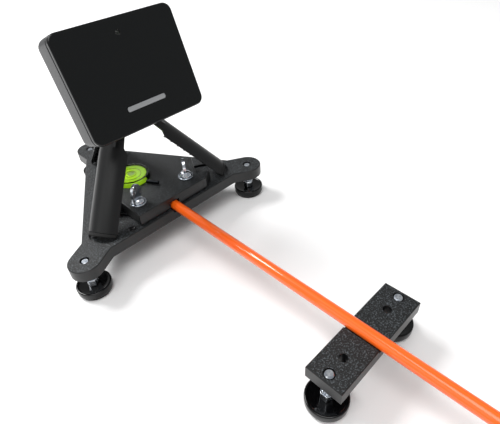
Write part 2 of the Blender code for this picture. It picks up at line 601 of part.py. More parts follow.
cuts = [moved(along(cylinder(3.0 * mm + GAP, side_x - 6 * mm, side_x + 2 * mm, 20), "X"),
              Matrix.Translation((0, BTN_Y, BTN_Z))),
        box(side_x - 6 * mm, side_x + 2 * mm, PORT_Y - PORT_W - GAP, PORT_Y + PORT_W + GAP,
            PORT_Z - PORT_H - GAP, PORT_Z + PORT_H + GAP),
        through_y(5.0 * mm, 0, SCREW_Z, UNIT_D - WALL - 1 * mm, UNIT_D + 1 * mm)]
piece("rear_housing", combine(shell, cuts), M_SHELL, (0, UNIT_D, 0), UNIT)

button = along(turned([(3.6 * mm, side_x - WALL - 1.6 * mm), (3.6 * mm, side_x - WALL - 1.1 * mm),
                       (3.0 * mm, side_x - WALL - 1.1 * mm), (3.0 * mm, side_x + 0.4 * mm),
                       (2.4 * mm, side_x + 0.8 * mm)], 20), "X")
piece("power_button", moved(button, Matrix.Translation((0, BTN_Y, BTN_Z))), M_KNOB,
      (side_x, BTN_Y, BTN_Z), UNIT)
flap = box(side_x - 1.0 * mm, side_x + 0.6 * mm, PORT_Y - PORT_W, PORT_Y + PORT_W,
           PORT_Z - PORT_H, PORT_Z + PORT_H)
piece("port_flap", flap, M_RUBBER, (side_x + 0.6 * mm, PORT_Y, PORT_Z - PORT_H), UNIT)

# inside
board = box(-39 * mm, 39 * mm, 8.0 * mm, 9.6 * mm, -30 * mm, 30 * mm)
piece("main_board", board, M_BOARD, (0, 9.6 * mm, 0), UNIT)
antenna = box(-22 * mm, 22 * mm, 5.6 * mm, 6.8 * mm, -24 * mm, 14 * mm)
piece("antenna_board", antenna, M_BOARD, (0, 5.6 * mm, 0), UNIT)
can = box(-18 * mm, 18 * mm, 9.9 * mm, 12.6 * mm, 10 * mm, 28 * mm)
piece("radio_shield", can, M_CAN, (0, 9.9 * mm, 19 * mm), UNIT)
cell = moved(loft([[(x, y, z) for x, y in ((-27 * mm, 12.4 * mm), (-28 * mm, 11.4 * mm), (-28 * mm, 10.9 * mm),
                                           (-27 * mm, 9.9 * mm), (27 * mm, 9.9 * mm), (28 * mm, 10.9 * mm),
                                           (28 * mm, 11.4 * mm), (27 * mm, 12.4 * mm), (26 * mm, 15.6 * mm),
                                           (-26 * mm, 15.6 * mm))] for z in (-29 * mm, -6 * mm)]),
             Matrix.Translation((-4 * mm, 0, 0)))
piece("battery", cell, M_CELL, (-4 * mm, 9.9 * mm, -17 * mm), UNIT)
socket = combine(box(34.0 * mm, side_x - WALL - 0.7 * mm, PORT_Y - 3.2 * mm, PORT_Y + 3.2 * mm,
                     PORT_Z - 4.6 * mm, PORT_Z + 4.6 * mm),
                 [box(35.5 * mm, side_x, PORT_Y - 1.5 * mm, PORT_Y + 1.5 * mm, PORT_Z - 4.2 * mm, PORT_Z + 4.2 * mm)])
piece("usb_socket", socket, M_CAN, (34.0 * mm, PORT_Y, PORT_Z), UNIT)

# brass thread in the back, bracket and its screw
thread = turned([(4.7 * mm, UNIT_D - 8.2 * mm), (4.7 * mm, UNIT_D - 0.2 * mm),
                 (3.4 * mm, UNIT_D - 0.2 * mm), (3.4 * mm, UNIT_D - 8.2 * mm)], 20, True)
thread = moved(along(thread, "Y"), Matrix.Translation((0, 0, SCREW_Z)))
piece("tripod_thread", thread, M_BRASS, (0, UNIT_D, SCREW_Z), UNIT)

by0 = UNIT_D + GAP
by1 = by0 + 2.6 * mm
py, pz = PIVOT[1], PIVOT[2]
pts = []
for i in range(13):
    a = math.pi * i / 12
    pts.append((11 * mm * math.cos(a), SCREW_Z + 1.5 * mm + 9 * mm * math.sin(a)))
pts += [(-11 * mm, pz - 5 * mm), (11 * mm, pz - 5 * mm)]
bracket = loft([[(x, by0, z) for x, z in pts], [(x, by1, z) for x, z in pts]])
prof = [(by1 - 1.0 * mm, pz - 4.2 * mm), (py, pz - 4.2 * mm)]
for i in range(1, 12):
    a = math.radians(-90 + 180 * i / 12)
    prof.append((py + 4.2 * mm * math.cos(a), pz + 4.2 * mm * math.sin(a)))
prof += [(py, pz + 4.2 * mm), (by1 - 1.0 * mm, pz + 4.2 * mm)]
lug = loft([[(-LUG_W / 2, y, z) for y, z in prof], [(LUG_W / 2, y, z) for y, z in prof]])
bracket = combine(bracket, [lug], "UNION")
bracket = combine(bracket, [moved(along(cylinder(PIVOT_BORE, -12 * mm, 12 * mm, 20), "X"),
                                  Matrix.Translation((0, py, pz))),
                            through_y(3.5 * mm, 0, SCREW_Z, by0 - 1 * mm, by1 + 1 * mm)])
piece("tilt_bracket", bracket, M_LEG, PIVOT, UNIT)
hy = by1 + GAP
screw = turned([(2.5 * mm, UNIT_D - 7.0 * mm), (3.1 * mm, UNIT_D - 6.4 * mm), (3.1 * mm, hy),
                (6.6 * mm, hy), (7.0 * mm, hy + 0.4 * mm), (7.0 * mm, hy + 3.4 * mm), (6.4 * mm, hy + 4.0 * mm)], 28)
piece("mount_screw", moved(along(screw, "Y"), Matrix.Translation((0, 0, SCREW_Z))), M_ZINC,
      (0, hy, SCREW_Z), UNIT)
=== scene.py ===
import math

import bpy
from mathutils import Matrix, Vector


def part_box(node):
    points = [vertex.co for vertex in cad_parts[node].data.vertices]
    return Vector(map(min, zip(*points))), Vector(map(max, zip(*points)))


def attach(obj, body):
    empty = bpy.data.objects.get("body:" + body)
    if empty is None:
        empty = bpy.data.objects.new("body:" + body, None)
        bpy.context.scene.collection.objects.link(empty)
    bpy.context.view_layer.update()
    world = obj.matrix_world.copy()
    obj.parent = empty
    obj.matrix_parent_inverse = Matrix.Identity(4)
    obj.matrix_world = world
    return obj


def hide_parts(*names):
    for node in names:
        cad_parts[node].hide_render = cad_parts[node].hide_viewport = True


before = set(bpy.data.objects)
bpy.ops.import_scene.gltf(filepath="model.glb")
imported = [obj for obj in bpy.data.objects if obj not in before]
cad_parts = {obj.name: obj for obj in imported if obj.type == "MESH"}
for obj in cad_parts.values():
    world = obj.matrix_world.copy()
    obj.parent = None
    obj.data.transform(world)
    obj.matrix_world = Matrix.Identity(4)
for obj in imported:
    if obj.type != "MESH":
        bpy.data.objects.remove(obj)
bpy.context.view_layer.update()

# ---------------------------------------------------------------------------
# Base plate: a triangle of 3/8 in black HDPE sheet with a round lobe at each
# corner. The faces keep the pebbled skin of the sheet as it was rolled, and
# the edges are routed smooth, with a small easing run round them.
# ---------------------------------------------------------------------------

# The scene is in metres, and its sizes are written in millimetres.
mm = 0.001


def from_hex(code):
    """An sRGB colour such as '#1a2b3c' as linear red, green, blue, alpha."""
    parts = [int(code[i:i + 2], 16) / 255 for i in (1, 3, 5)]
    return tuple(c / 12.92 if c <= 0.04045 else ((c + 0.055) / 1.055) ** 2.4 for c in parts) + (1.0,)


def add_node(material, kind, settings=None, links=None):
    """One shader node with its settings and what feeds it."""
    node = material.node_tree.nodes.new(kind)
    for key, value in (settings or {}).items():
        if hasattr(node, key):
            setattr(node, key, value)
        else:
            node.inputs[key].default_value = value
    for key, source in (links or {}).items():
        material.node_tree.links.new(source, node.inputs[key])
    return node


def new_finish(name, colour, roughness, metallic=0.0, ior=1.5):
    """A named material and its shader, with the values that are the same all over."""
    material = bpy.data.materials.new(name)
    material.use_nodes = True
    shader = material.node_tree.nodes["Principled BSDF"]
    shader.inputs["Base Color"].default_value = from_hex(colour)
    shader.inputs["Roughness"].default_value = roughness
    shader.inputs["Metallic"].default_value = metallic
    shader.inputs["IOR"].default_value = ior
    return material, shader


# Pebbled HDPE: rolled sheet with pebbles about 0.9 mm across. Its colour carries painted light: painted
# glints on the pebble tops and painted shade in the valleys between them.
hdpe_pebbled, shader = new_finish("hdpe_pebbled_face_painted_light", "#121314", 0.44, ior=1.42)
links = hdpe_pebbled.node_tree.links
place = add_node(hdpe_pebbled, "ShaderNodeTexCoord")
pebbles = add_node(hdpe_pebbled, "ShaderNodeTexNoise",
                   {"Scale": 1 / (0.9 * mm), "Detail": 3.0, "Roughness": 0.7},
                   {"Vector": place.outputs["Object"]})
# Painted glints and painted shade: the ramp colours the pebble tops lighter and the valleys darker than the
# sheet's own near-black.
painted_glints_and_shade = add_node(hdpe_pebbled, "ShaderNodeValToRGB", links={"Fac": pebbles.outputs["Fac"]})
painted_glints_and_shade.color_ramp.elements[0].position = 0.52
painted_glints_and_shade.color_ramp.elements[0].color = from_hex("#050607")
painted_glints_and_shade.color_ramp.elements[1].position = 0.68
painted_glints_and_shade.color_ramp.elements[1].color = from_hex("#565c60")
skin = add_node(hdpe_pebbled, "ShaderNodeBump", {"Strength": 0.9, "Distance": 0.4 * mm},
                {"Height": pebbles.outputs["Fac"]})
links.new(painted_glints_and_shade.outputs["Color"], shader.inputs["Base Color"])
links.new(skin.outputs["Normal"], shader.inputs["Normal"])

# Routed HDPE edge: the cutter leaves faint lines about 0.6 mm apart that run
# along the edge, on a surface a little smoother than the skin.
hdpe_routed, shader = new_finish("hdpe_routed_edge", "#0f1011", 0.36, ior=1.46)
links = hdpe_routed.node_tree.links
place = add_node(hdpe_routed, "ShaderNodeTexCoord")
along_edge = add_node(hdpe_routed, "ShaderNodeMapping", {"Scale": (90.0, 90.0, 1 / (0.6 * mm))},
                      {"Vector": place.outputs["Object"]})
cutter_lines = add_node(hdpe_routed, "ShaderNodeTexNoise", {"Scale": 1.0, "Detail": 2.0},
                        {"Vector": along_edge.outputs["Vector"]})
ridges = add_node(hdpe_routed, "ShaderNodeBump", {"Strength": 0.2, "Distance": 0.2 * mm},
                  {"Height": cutter_lines.outputs["Fac"]})
links.new(ridges.outputs["Normal"], shader.inputs["Normal"])


def settle(piece, name, body, slot, *nodes):
    """Names a finished piece and puts it on its body, in place of these nodes."""
    piece.name = name
    piece.data.name = name
    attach(piece, body)
    if nodes:
        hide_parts(*nodes)
    return piece


def eased(node, radius, angle=30, steps=2):
    """A solid of the frame with its flat faces made whole and its edges rounded."""
    bpy.ops.object.select_all(action="DESELECT")
    piece = bpy.data.objects.new(node + "_work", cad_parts[node].data.copy())
    bpy.context.collection.objects.link(piece)
    piece.select_set(True)
    bpy.context.view_layer.objects.active = piece
    piece.data.materials.clear()
    bpy.ops.mesh.customdata_custom_splitnormals_clear()
    bpy.ops.object.mode_set(mode="EDIT")
    bpy.ops.mesh.select_all(action="SELECT")
    bpy.ops.mesh.remove_doubles(threshold=0.01 * mm)
    bpy.ops.mesh.dissolve_limited(angle_limit=math.radians(0.6))
    bpy.ops.object.mode_set(mode="OBJECT")
    if radius:
        edge = piece.modifiers.new("eased edges", "BEVEL")
        edge.width = radius
        edge.segments = steps
        edge.limit_method = "ANGLE"
        edge.angle_limit = math.radians(angle)
        bpy.ops.object.modifier_apply(modifier=edge.name)
    bpy.ops.object.shade_smooth_by_angle(angle=math.radians(angle + 8))
    flats = piece.modifiers.new("true flats", "WEIGHTED_NORMAL")
    flats.keep_sharp = True
    bpy.ops.object.modifier_apply(modifier=flats.name)
    return piece


def sheet_faces(piece):
    """The pebbled skin on the two faces of the sheet, and routed plastic on the rest."""
    piece.data.materials.append(hdpe_pebbled)
    piece.data.materials.append(hdpe_routed)
    for face in piece.data.polygons:
        face.material_index = 0 if abs(face.normal.z) > 0.95 else 1


base = eased("base_plate", 0.22 * mm)
sheet_faces(base)
settle(base, "base_plate_routed", "stand", "sheet", "base_plate")

# ---------------------------------------------------------------------------
# Clamp plate: a second piece of the same sheet, notched where the legs come
# down. Two thumb screws pull it onto the rod and the tripod's feet.
# ---------------------------------------------------------------------------
clamp = eased("clamp_plate", 0.2 * mm)
sheet_faces(clamp)
settle(clamp, "clamp_plate_routed", "clamp", "sheet", "clamp_plate")

# ---------------------------------------------------------------------------
# Support bar: a short length of the sheet under the rod, drilled for its two
# feet and with two spare holes.
# ---------------------------------------------------------------------------
bar = eased("support_bar", 0.2 * mm)
sheet_faces(bar)
settle(bar, "support_bar_sawn", "bar", "sheet", "support_bar")

# ---------------------------------------------------------------------------
# Foot knobs: dished discs of glossy black nylon, moulded round the studs. The
# polished rim catches the light as a thin bright line.
# ---------------------------------------------------------------------------


def turned(name, profile, centre, sides=96, closed=False):
    """A round piece raised ring by ring from (radius, height) pairs round centre."""
    bpy.ops.object.select_all(action="DESELECT")
    radius, height = profile[0]
    at = Vector(centre) + Vector((0, 0, height))
    bpy.ops.mesh.primitive_circle_add(vertices=sides, radius=radius, location=at,
                                      fill_type="NOTHING" if closed else "NGON")
    piece = bpy.context.object
    bpy.ops.object.transform_apply(location=True, rotation=True, scale=True)
    bpy.ops.object.mode_set(mode="EDIT")
    bpy.ops.mesh.select_all(action="SELECT")
    for (r0, h0), (r1, h1) in zip(profile, profile[1:]):
        if closed:
            bpy.ops.mesh.extrude_edges_move(TRANSFORM_OT_translate={"value": (0, 0, h1 - h0)})
        else:
            bpy.ops.mesh.extrude_region_move(TRANSFORM_OT_translate={"value": (0, 0, h1 - h0)})
        if abs(r1 - r0) > 1e-9:
            bpy.ops.transform.resize(value=(r1 / r0, r1 / r0, 1),
                                     center_override=(centre[0], centre[1], centre[2] + h1))
    bpy.ops.mesh.select_all(action="SELECT")
    if closed:
        bpy.ops.mesh.remove_doubles(threshold=0.002 * mm)
    bpy.ops.mesh.normals_make_consistent(inside=False)
    bpy.ops.object.mode_set(mode="OBJECT")
    bpy.ops.object.shade_smooth_by_angle(angle=math.radians(38))
    piece.name = name
    return piece


def copy_to(piece, offset):
    """Another of the same piece, with its own mesh, moved by offset."""
    other = piece.copy()
    other.data = piece.data.copy()
    bpy.context.collection.objects.link(other)
    other.data.transform(Matrix.Translation(offset))
    return other


def axis_of(node):
    """The point on the floor under the middle of a solid."""
    low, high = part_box(node)
    return Vector(((low.x + high.x) / 2, (low.y + high.y) / 2, 0))


# Moulded nylon: dense black with a polished mould's gloss, and a slow swell
# about 6 mm long where it shrank.
nylon_gloss, shader = new_finish("nylon_gloss_black", "#030304", 0.12, ior=1.4)
links = nylon_gloss.node_tree.links
place = add_node(nylon_gloss, "ShaderNodeTexCoord")
shrink = add_node(nylon_gloss, "ShaderNodeTexNoise", {"Scale": 1 / (6 * mm), "Detail": 1.0},
                  {"Vector": place.outputs["Object"]})
swell = add_node(nylon_gloss, "ShaderNodeBump", {"Strength": 0.12, "Distance": 0.3 * mm},
                 {"Height": shrink.outputs["Fac"]})
links.new(swell.outputs["Normal"], shader.inputs["Normal"])

FEET = {"left": "stand", "right": "stand", "back": "stand", "bar_left": "bar", "bar_right": "bar"}
knob_profile = [(11.7, 1.75), (12.3, 2.1), (12.65, 2.7), (12.7, 3.1), (12.7, 6.5), (12.63, 6.9), (12.42, 7.2),
                (12.1, 7.38), (11.7, 7.4), (11.4, 7.34), (11.1, 7.15), (10.6, 6.9), (9.0, 6.55), (6.8, 6.28),
                (5.0, 6.2), (3.5, 6.2), (3.5, 3.0), (11.3, 3.0), (11.7, 1.75)]
first = axis_of("foot_knob_left")
knob = turned("foot_knob_model", [(r * mm, z * mm) for r, z in knob_profile], first, closed=True)
knob.data.materials.append(nylon_gloss)
for foot in FEET:
    moulded = copy_to(knob, axis_of("foot_knob_" + foot) - first)
    settle(moulded, "knob_moulded_" + foot, "foot_" + foot, "knob", "foot_knob_" + foot)
bpy.data.objects.remove(knob)

# ---------------------------------------------------------------------------
# Plug: a small nylon ring with a dimple, pressed into the base plate beside
# the left leg's pocket.
# ---------------------------------------------------------------------------
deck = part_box("base_plate")[1].z
stud_line = axis_of("foot_stud_left").y
plug_place = Vector((-38.2 * mm, stud_line + 3.0 * mm, 0))
plug = turned("plug", [(2.6 * mm, deck - 0.3 * mm), (2.8 * mm, deck - 0.1 * mm), (2.8 * mm, deck + 0.15 * mm),
                       (2.6 * mm, deck + 0.3 * mm), (1.9 * mm, deck + 0.3 * mm), (1.6 * mm, deck + 0.1 * mm),
                       (1.2 * mm, deck + 0.05 * mm)], plug_place, sides=48)
plug.data.materials.append(nylon_gloss)
settle(plug, "base_plug", "stand", "knob")

# ---------------------------------------------------------------------------
# Foot pads: nitrile rubber discs under the knobs, with two grooves so that
# they don't slide on the mat.
# ---------------------------------------------------------------------------

# Nitrile rubber: soft, dull and near black, with a grain of about 0.3 mm from
# the mould.
rubber, shader = new_finish("nitrile_rubber", "#0c0c0c", 0.72, ior=1.45)
links = rubber.node_tree.links
place = add_node(rubber, "ShaderNodeTexCoord")
grain = add_node(rubber, "ShaderNodeTexNoise", {"Scale": 1 / (0.3 * mm), "Detail": 2.0},
                 {"Vector": place.outputs["Object"]})
dull = add_node(rubber, "ShaderNodeBump", {"Strength": 0.25, "Distance": 0.1 * mm},
                {"Height": grain.outputs["Fac"]})
links.new(dull.outputs["Normal"], shader.inputs["Normal"])

pad_profile = [(3.0, 0.5), (5.0, 0.5), (5.3, 0.0), (7.6, 0.0), (7.9, 0.5), (8.7, 0.5), (9.0, 0.0),
               (10.8, 0.0), (11.5, 0.3), (11.7, 0.6), (11.7, 1.4)]
pad = turned("foot_pad_model", [(r * mm, z * mm) for r, z in pad_profile], first)
pad.data.materials.append(rubber)
for foot in FEET:
    moulded = copy_to(pad, axis_of("foot_pad_" + foot) - first)
    settle(moulded, "pad_rubber_" + foot, "pad_" + foot, "rubber", "foot_pad_" + foot)
bpy.data.objects.remove(pad)

# ---------------------------------------------------------------------------
# Levelling studs: 1/4-20 zinc plated steel, with a hexagon collar above the
# knob. The rolled thread shows between the collar and the plate.
# ---------------------------------------------------------------------------

# Bright zinc: clear passivated plating, a bluish white metal with faint
# cloudy patches about 2 mm across.
zinc, shader = new_finish("zinc_bright_plated", "#ccd2da", 0.22, metallic=1.0)
links = zinc.node_tree.links
place = add_node(zinc, "ShaderNodeTexCoord")
clouds = add_node(zinc, "ShaderNodeTexNoise", {"Scale": 1 / (2 * mm), "Detail": 3.0},
                  {"Vector": place.outputs["Object"]})
tint = add_node(zinc, "ShaderNodeValToRGB", links={"Fac": clouds.outputs["Fac"]})
tint.color_ramp.elements[0].position = 0.35
tint.color_ramp.elements[0].color = from_hex("#b4bcc8")
tint.color_ramp.elements[1].position = 0.65
tint.color_ramp.elements[1].color = from_hex("#e2e6ea")
cloudy = add_node(zinc, "ShaderNodeMapRange", {"To Min": 0.16, "To Max": 0.32},
                  {"Value": clouds.outputs["Fac"]})
links.new(tint.outputs["Color"], shader.inputs["Base Color"])
links.new(cloudy.outputs["Result"], shader.inputs["Roughness"])

PITCH = 25.4 * mm / 20


def thread_ridge(centre, low, high, radius):
    """A rolled thread's crest, wound round a shaft from low to high."""
    bpy.ops.object.select_all(action="DESELECT")
    bpy.ops.mesh.primitive_circle_add(vertices=3, radius=0.34 * mm, fill_type="NOTHING",
                                      rotation=(math.pi / 2, 0, 0), location=(radius, 0, 0))
    ridge = bpy.context.object
    bpy.ops.object.transform_apply(location=True, rotation=True, scale=True)
    wind = ridge.modifiers.new("thread", "SCREW")
    wind.screw_offset = PITCH
    wind.iterations = max(1, int((high - low) / PITCH))
    wind.steps = wind.render_steps = 28
    wind.use_merge_vertices = False
    bpy.ops.object.modifier_apply(modifier=wind.name)
    bpy.ops.object.mode_set(mode="EDIT")
    bpy.ops.mesh.select_all(action="DESELECT")
    bpy.ops.mesh.select_mode(type="EDGE")
    bpy.ops.mesh.select_non_manifold()
    bpy.ops.mesh.edge_face_add()
    bpy.ops.mesh.select_all(action="SELECT")
    bpy.ops.mesh.normals_make_consistent(inside=False)
    bpy.ops.object.mode_set(mode="OBJECT")
    ridge.data.transform(Matrix.Translation(Vector(centre) + Vector((0, 0, low))))
    return ridge


def as_one(*parts):
    """Shapes that make one piece, joined into the first."""
    bpy.ops.object.select_all(action="DESELECT")
    for part in parts:
        part.select_set(True)
    bpy.context.view_layer.objects.active = parts[0]
    bpy.ops.object.join()
    return parts[0]


SHAFT_R = 2.85 * mm
# The collar is 7.4 mm across its flats, drawn 1% small so that it stays within.
COLLAR_R = 3.7 * mm / math.cos(math.pi / 6) * 0.99

for foot in FEET:
    at = axis_of("foot_stud_" + foot)
    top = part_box("foot_stud_" + foot)[1].z
    shaft = turned("stud", [(2.7 * mm, 3.3 * mm), (SHAFT_R, 3.6 * mm), (SHAFT_R, top - 0.7 * mm),
                            (2.35 * mm, top - 0.12 * mm), (2.2 * mm, top)], at, sides=48)
    crest = thread_ridge(at, 12.6 * mm, top - 1.6 * mm, 2.78 * mm)
    bpy.ops.object.select_all(action="DESELECT")
    bpy.ops.mesh.primitive_cylinder_add(vertices=6, radius=COLLAR_R,
                                        depth=6.0 * mm, location=at + Vector((0, 0, 9.5 * mm)))
    collar = bpy.context.object
    bpy.ops.object.transform_apply(location=True, rotation=True, scale=True)
    corner = collar.modifiers.new("corners", "BEVEL")
    corner.width = 0.35 * mm
    corner.segments = 3
    bpy.ops.object.modifier_apply(modifier=corner.name)
    bpy.ops.object.shade_smooth_by_angle(angle=math.radians(35))
    stud = as_one(shaft, crest, collar)
    stud.data.materials.append(zinc)
    settle(stud, "stud_zinc_" + foot, "foot_" + foot, "zinc", "foot_stud_" + foot)

# ---------------------------------------------------------------------------
# Thumb screws and washers: zinc plated, with a spade head pressed flat for the
# fingers. They run into brass inserts in the base plate.
# ---------------------------------------------------------------------------
for side in ("left", "right"):
    at = axis_of("washer_" + side)
    low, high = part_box("washer_" + side)
    ring = turned("washer", [(3.6 * mm, low.z), (6.1 * mm, low.z), (6.3 * mm, low.z + 0.2 * mm),
                             (6.3 * mm, high.z - 0.25 * mm), (6.1 * mm, high.z), (3.8 * mm, high.z),
                             (3.6 * mm, high.z - 0.2 * mm), (3.6 * mm, low.z)], at, sides=72, closed=True)
    ring.data.materials.append(zinc)
    settle(ring, "washer_zinc_" + side, "clamp", "zinc", "washer_" + side)
    screw = eased("thumb_screw_" + side, 0.28 * mm, angle=40, steps=3)
    screw.data.materials.append(zinc)
    settle(screw, "thumb_screw_zinc_" + side, "screw_" + side, "zinc", "thumb_screw_" + side)

# ---------------------------------------------------------------------------
# Bullseye level: a clear acrylic cup pressed into the clamp plate, filled with
# lime green spirit over a white floor, with two target rings and a bubble.
# ---------------------------------------------------------------------------
FLUID_R = 12.7 * mm
level = axis_of("level_cup")
cup_low, cup_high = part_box("level_cup")

# Acrylic: water clear and polished, so only its rims show.
acrylic, shader = new_finish("acrylic_clear", "#f4f8f2", 0.03, ior=1.49)
shader.inputs["Transmission Weight"].default_value = 1.0

# Level spirit: lime dye over a white floor, slightly deeper towards the rim. The dye's colour is also emitted
# as a painted glow, which makes the spirit look brighter than what lights it.
spirit, shader = new_finish("level_spirit_lime_painted_glow", "#b9ee2a", 0.12, ior=1.36)
links = spirit.node_tree.links
place = add_node(spirit, "ShaderNodeTexCoord")
centred = add_node(spirit, "ShaderNodeMapping", {"Location": (-level.x, -level.y, 0)},
                   {"Vector": place.outputs["Object"]})
flat = add_node(spirit, "ShaderNodeVectorMath", {"operation": "MULTIPLY"}, {0: centred.outputs["Vector"]})
flat.inputs[1].default_value = (1, 1, 0)
reach = add_node(spirit, "ShaderNodeVectorMath", {"operation": "LENGTH"}, {0: flat.outputs["Vector"]})
depth = add_node(spirit, "ShaderNodeMapRange", {"From Min": 0.0, "From Max": FLUID_R},
                 {"Value": reach.outputs["Value"]})
dye_and_painted_glow = add_node(spirit, "ShaderNodeValToRGB", links={"Fac": depth.outputs["Result"]})
dye_and_painted_glow.color_ramp.elements[0].color = from_hex("#cdf542")
dye_and_painted_glow.color_ramp.elements[1].color = from_hex("#aee226")
links.new(dye_and_painted_glow.outputs["Color"], shader.inputs["Base Color"])
# Painted glow: the same colour is emitted, though the spirit is no lamp.
links.new(dye_and_painted_glow.outputs["Color"], shader.inputs["Emission Color"])
shader.inputs["Emission Strength"].default_value = 0.46

cup = turned("cup", [(14.4 * mm, cup_low.z), (15 * mm, cup_low.z + 0.6 * mm),
                     (15 * mm, cup_high.z - 0.5 * mm), (14.85 * mm, cup_high.z - 0.15 * mm),
                     (14.5 * mm, cup_high.z), (13.3 * mm, cup_high.z),
                     (13 * mm, cup_high.z - 0.3 * mm), (13 * mm, cup_low.z + 1.5 * mm)], level)
cup.data.materials.append(acrylic)
settle(cup, "level_cup_acrylic", "clamp", "clear", "level_cup")

fluid_low, fluid_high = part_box("level_fluid")
fluid = turned("fluid", [(12.6 * mm, fluid_low.z), (FLUID_R, fluid_low.z + 0.1 * mm),
                         (FLUID_R, fluid_high.z - 0.1 * mm), (12.6 * mm, fluid_high.z)], level)
fluid.data.materials.append(spirit)
settle(fluid, "level_spirit", "clamp", "fluid", "level_fluid")

lens_low, lens_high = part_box("level_lens")
lens = turned("lens", [(FLUID_R, lens_low.z), (FLUID_R, lens_high.z - 0.7 * mm),
                       (11.2 * mm, lens_high.z - 0.42 * mm), (9.5 * mm, lens_high.z - 0.25 * mm),
                       (7.0 * mm, lens_high.z - 0.1 * mm), (4.0 * mm, lens_high.z - 0.02 * mm),
                       (1.0 * mm, lens_high.z)], level)
lens.data.materials.append(acrylic)
settle(lens, "level_lens_acrylic", "clamp", "clear", "level_lens")


def worked(material, shader, length, low, high, depth):
    """The marks of making on a surface: fine relief, and gloss that varies with it."""
    place = add_node(material, "ShaderNodeTexCoord")
    marks = add_node(material, "ShaderNodeTexNoise", {"Scale": 1 / length, "Detail": 2.0},
                     {"Vector": place.outputs["Object"]})
    gloss = add_node(material, "ShaderNodeMapRange", {"To Min": low, "To Max": high},
                     {"Value": marks.outputs["Fac"]})
    relief = add_node(material, "ShaderNodeBump", {"Strength": 0.2, "Distance": depth},
                      {"Height": marks.outputs["Fac"]})
    material.node_tree.links.new(gloss.outputs["Result"], shader.inputs["Roughness"])
    material.node_tree.links.new(relief.outputs["Normal"], shader.inputs["Normal"])


# Target ink: screen printed black, matt, with the mesh of the screen in it.
ink, shader = new_finish("target_ink", "#16240c", 0.5)
worked(ink, shader, 0.2 * mm, 0.4, 0.65, 0.02 * mm)
for number, radius in enumerate((4.3 * mm, 8.2 * mm)):
    bpy.ops.object.select_all(action="DESELECT")
    bpy.ops.mesh.primitive_torus_add(major_radius=radius, minor_radius=0.13 * mm, major_segments=72,
                                     minor_segments=8, location=(level.x, level.y, fluid_high.z + 0.15 * mm))
    ring = bpy.context.object
    bpy.ops.object.transform_apply(location=True, rotation=True, scale=True)
    ring.data.materials.append(ink)
    bpy.ops.object.shade_smooth()
    settle(ring, "level_target_ring_%d" % (number + 1), "clamp", "fluid")

# Bubble: air under the lens, flattened against it, a paler green.
air, shader = new_finish("level_bubble", "#dcf7a0", 0.05, ior=1.2)
worked(air, shader, 2 * mm, 0.03, 0.1, 0.02 * mm)
bubble = turned("bubble", [(2.6 * mm, fluid_high.z + 0.03 * mm), (3.0 * mm, fluid_high.z + 0.1 * mm),
                           (2.8 * mm, fluid_high.z + 0.19 * mm), (2.2 * mm, fluid_high.z + 0.24 * mm)],
                level + Vector((0.6 * mm, 0.4 * mm, 0)), sides=48)
bubble.data.materials.append(air)
settle(bubble, "level_bubble", "clamp", "fluid")

# Level dowel: a short blackened steel pin lying against the rim, with the
# slightly mottled look that the blackening bath leaves.
blackened, shader = new_finish("steel_blackened", "#26282b", 0.35, metallic=1.0)
worked(blackened, shader, 0.6 * mm, 0.25, 0.5, 0.03 * mm)
dowel = eased("level_pin", 0.1 * mm)
dowel.data.materials.append(blackened)
settle(dowel, "level_dowel_steel", "clamp", "zinc", "level_pin")

# ---------------------------------------------------------------------------
# Alignment rod: pultruded glass fibre with a glossy orange coat, lying in the
# grooves of both plates and of the bar, with a rubber cap in front.
# ---------------------------------------------------------------------------

# Coated fibreglass: saturated orange under a hard clear gloss, with faint
# streaks along the rod where the fibres lie.
rod_coat, shader = new_finish("fibreglass_orange_gloss", "#f8600e", 0.4, ior=1.3)
shader.inputs["Coat Weight"].default_value = 1.0
shader.inputs["Coat Roughness"].default_value = 0.04
links = rod_coat.node_tree.links
place = add_node(rod_coat, "ShaderNodeTexCoord")
lengthwise = add_node(rod_coat, "ShaderNodeMapping", {"Scale": (1 / (0.6 * mm), 9.0, 1 / (0.6 * mm))},
                      {"Vector": place.outputs["Object"]})
fibres = add_node(rod_coat, "ShaderNodeTexNoise", {"Scale": 1.0, "Detail": 2.0},
                  {"Vector": lengthwise.outputs["Vector"]})
streaks = add_node(rod_coat, "ShaderNodeValToRGB", links={"Fac": fibres.outputs["Fac"]})
streaks.color_ramp.elements[0].position = 0.3
streaks.color_ramp.elements[0].color = from_hex("#f25806")
streaks.color_ramp.elements[1].position = 0.7
streaks.color_ramp.elements[1].color = from_hex("#fc6c16")
links.new(streaks.outputs["Color"], shader.inputs["Base Color"])

rod_low, rod_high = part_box("alignment_rod")
rod_height = (rod_low.z + rod_high.z) / 2
lay_down = Matrix.Translation((0, rod_high.y, rod_height)) @ Matrix.Rotation(math.pi / 2, 4, "X")
length = rod_high.y - rod_low.y
radius = (rod_high.z - rod_low.z) / 2
rod = turned("rod", [(radius - 0.5 * mm, 0), (radius - 0.25 * mm, 0.15 * mm), (radius, 0.5 * mm),
                     (radius, length / 3), (radius, length * 2 / 3), (radius, length - 1.6 * mm),
                     (radius - 1.1 * mm, length)], (0, 0, 0), sides=64)
rod.data.transform(lay_down)
rod.data.materials.append(rod_coat)
settle(rod, "alignment_rod_coated", "rod", "rod", "alignment_rod")
cap = eased("rod_tip", 0.2 * mm)
cap.data.materials.append(rubber)
settle(cap, "rod_cap_rubber", "rod", "rubber", "rod_tip")

# ---------------------------------------------------------------------------
# Tripod: three shell legs that close into a round stick, hinged on steel pins
# in a moulded hub, each with a rubber toe seated in its pocket.
# ---------------------------------------------------------------------------

